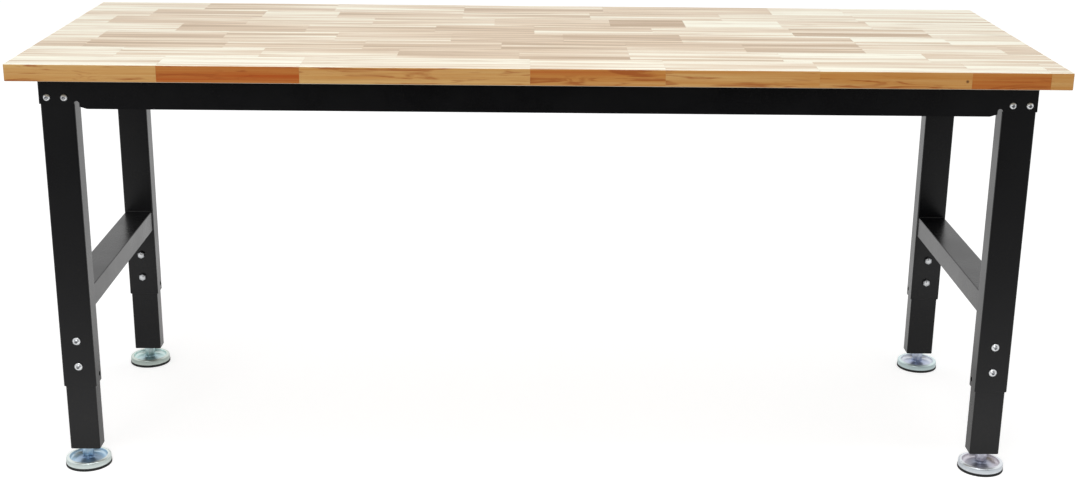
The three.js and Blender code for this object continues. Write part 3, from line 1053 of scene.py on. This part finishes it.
def make_pieces():
    make_worktop()
    for node in ("front_beam", "rear_beam"):
        dress_solid(node, black, BEAM_EASE)
    for end in ENDS:
        for kind in ("stretcher_", "top_rail_"):
            make_channel(kind + end)
            for side in (-1, 1):
                make_weld(kind + end, side)
    for corner in CORNERS:
        outward = -1 if corner.startswith("front") else 1
        make_outer_leg(corner)
        make_inner_leg(corner)
        dress_solid("foot_nut_" + corner, black)
        make_stud(corner)
        make_disc(corner)
        make_pad(corner)
        for index in ("1", "2"):
            make_bolt("beam_bolt_" + corner + "_" + index, BEAM_HEAD_RADIUS, outward)
        for level in ("lower", "upper"):
            make_bolt("leg_bolt_" + corner + "_" + level, LEG_HEAD_RADIUS, outward)
    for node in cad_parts:
        if node.startswith("top_screw_"):
            dress_solid(node, zinc)


# Stage: a pale floor and white surroundings. Mirrored in the part, the floor fades towards the front and
# has painted shade under the bench, and a dark room lies behind the camera.
FLOOR_SIZE = 30
FLOOR_SHADE = 0.65
FLOOR_GLOW = 0.63
WORLD_LIGHT = 0.65
WHITE = (1, 1, 1)
# Where the mirrored floor's fade begins, over what length, and how much that length grows to the sides
SHEET_FRONT = -0.52
SHEET_FADE = 0.72
SHEET_SPREAD = 0.4
# How bright the painted shade under the bench is, and between which distances from the middle that ends
UNDER_LEVEL = 0.68
UNDER_NEAR = 0.15
UNDER_FAR = 0.5
# How bright the room is, and between which directions, as shares of +Y, it ends
ROOM_LEVEL = 0.06
ROOM_DARK = -0.8
ROOM_EDGE = -0.35


class Stage(Nodes):
    """Nodes for a floor or a world that looks different to rays that see it and rays that are lit by it."""

    def __init__(self, tree):
        self.tree = tree
        path = self.add("ShaderNodeLightPath").outputs
        self.mirrored = self.math("MAXIMUM", path["Is Glossy Ray"], path["Is Transmission Ray"])
        self.showing = self.math("MAXIMUM", path["Is Camera Ray"], self.mirrored)

    def weigh(self, value):
        """value for mirrored rays, 1 for the others."""
        change = self.math("SUBTRACT", value, 1.0)
        return self.math("ADD", self.math("MULTIPLY", self.mirrored, change), 1.0)

    def split(self, vector):
        node = self.add("ShaderNodeSeparateXYZ")
        self.link(vector, node.inputs[0])
        return node.outputs


def floor_fade(n):
    """How bright the floor is in mirrored rays, with painted shade under the bench, 1 in the others."""
    place = n.split(n.place())
    ahead = n.math("MINIMUM", n.math("SUBTRACT", place["Y"], SHEET_FRONT), 0.0)
    aside = n.math("MULTIPLY", n.math("MULTIPLY", place["X"], place["X"]), SHEET_SPREAD)
    reach = n.math("MULTIPLY", n.math("ADD", aside, 1.0), SHEET_FADE)
    painted_bench_shade = n.fit(n.math("ABSOLUTE", place["Y"]), UNDER_NEAR, UNDER_FAR, UNDER_LEVEL, 1.0)
    return n.weigh(n.math("MULTIPLY", n.math("EXPONENT", n.math("DIVIDE", ahead, reach)), painted_bench_shade))


def make_floor():
    half = FLOOR_SIZE / 2
    mesh = bpy.data.meshes.new("floor")
    outline = [(-half, -half, 0), (half, -half, 0), (half, half, 0), (-half, half, 0)]
    mesh.from_pydata(outline, [], [range(len(outline))])
    floor = bpy.data.objects.new("floor", mesh)
    bpy.context.scene.collection.objects.link(floor)
    material = bpy.data.materials.new("pale_floor")
    material.use_nodes = True
    n = Stage(material.node_tree)
    n.tree.nodes.remove(n.tree.nodes["Principled BSDF"])
    fade = floor_fade(n)
    shade_colour = n.add("ShaderNodeCombineColor")
    for channel in shade_colour.inputs:
        n.link(n.math("MULTIPLY", fade, FLOOR_SHADE), channel)
    diffuse = n.add("ShaderNodeBsdfDiffuse")
    n.link(shade_colour.outputs[0], diffuse.inputs["Color"])
    glow = n.add("ShaderNodeEmission")
    n.link(n.math("MULTIPLY", n.math("MULTIPLY", n.showing, fade), FLOOR_GLOW), glow.inputs["Strength"])
    both = n.add("ShaderNodeAddShader")
    n.link(diffuse.outputs[0], both.inputs[0])
    n.link(glow.outputs[0], both.inputs[1])
    n.link(both.outputs[0], n.tree.nodes["Material Output"].inputs["Surface"])
    floor.data.materials.append(material)


def make_world():
    world = bpy.data.worlds.new("white_room")
    bpy.context.scene.world = world
    world.use_nodes = True
    n = Stage(world.node_tree)
    background = n.tree.nodes["Background"]
    background.inputs["Color"].default_value = opaque(WHITE)
    direction = n.split(n.add("ShaderNodeTexCoord").outputs["Generated"])
    room = n.weigh(n.fit(direction["Y"], ROOM_DARK, ROOM_EDGE, ROOM_LEVEL, 1.0))
    level = n.fit(n.showing, 0.0, 1.0, WORLD_LIGHT, 1.0)
    n.link(n.math("MULTIPLY", room, level), background.inputs["Strength"])


# Lamps, all turned to one place: where each stands, its width and depth, and its power in watts
LAMP_TARGET = Vector((0, 0, 0.5))
LAMPS = {
    "overhead": ((0, -0.7, 3.0), (1.8, 0.4), 20),
    "front_fill": ((-1.0, -4.0, 2.2), (3.0, 2.0), 42),
}


def make_lamps():
    for name, (place, size, power) in LAMPS.items():
        data = bpy.data.lights.new(name, "AREA")
        data.shape = "RECTANGLE"
        data.size, data.size_y = size
        data.energy = power
        lamp = bpy.data.objects.new(name, data)
        bpy.context.scene.collection.objects.link(lamp)
        lamp.location = place
        lamp.rotation_euler = (LAMP_TARGET - Vector(place)).to_track_quat("-Z", "Y").to_euler()


# Camera, worked out from the photograph's straight edges, with angles in radians
IMAGE_WIDTH = 1080
FOCAL_PIXELS = 1601.4
SENSOR = 36.0
CAMERA_PLACE = (-0.0292, -3.0348, 1.3110)
CAMERA_YAW = 0.0116
CAMERA_PITCH = -0.3024
CAMERA_ROLL = 0.0111


def make_camera():
    data = bpy.data.cameras.new("camera")
    data.sensor_fit = "HORIZONTAL"
    data.sensor_width = SENSOR
    data.lens = FOCAL_PIXELS / IMAGE_WIDTH * SENSOR
    camera = bpy.data.objects.new("camera", data)
    bpy.context.scene.collection.objects.link(camera)
    ahead = Vector((math.sin(CAMERA_YAW), math.cos(CAMERA_YAW), 0))
    forward = ahead * math.cos(CAMERA_PITCH) + Vector((0, 0, math.sin(CAMERA_PITCH)))
    level = Vector((math.cos(CAMERA_YAW), -math.sin(CAMERA_YAW), 0))
    upward = level.cross(forward)
    right = level * math.cos(CAMERA_ROLL) + upward * math.sin(CAMERA_ROLL)
    up = upward * math.cos(CAMERA_ROLL) - level * math.sin(CAMERA_ROLL)
    turn = Matrix((right, up, -forward)).transposed().to_4x4()
    camera.matrix_world = Matrix.Translation(CAMERA_PLACE) @ turn
    bpy.context.scene.camera = camera


make_pieces()
make_floor()
make_world()
make_lamps()
make_camera()
bpy.context.scene.view_settings.view_transform = "Standard"
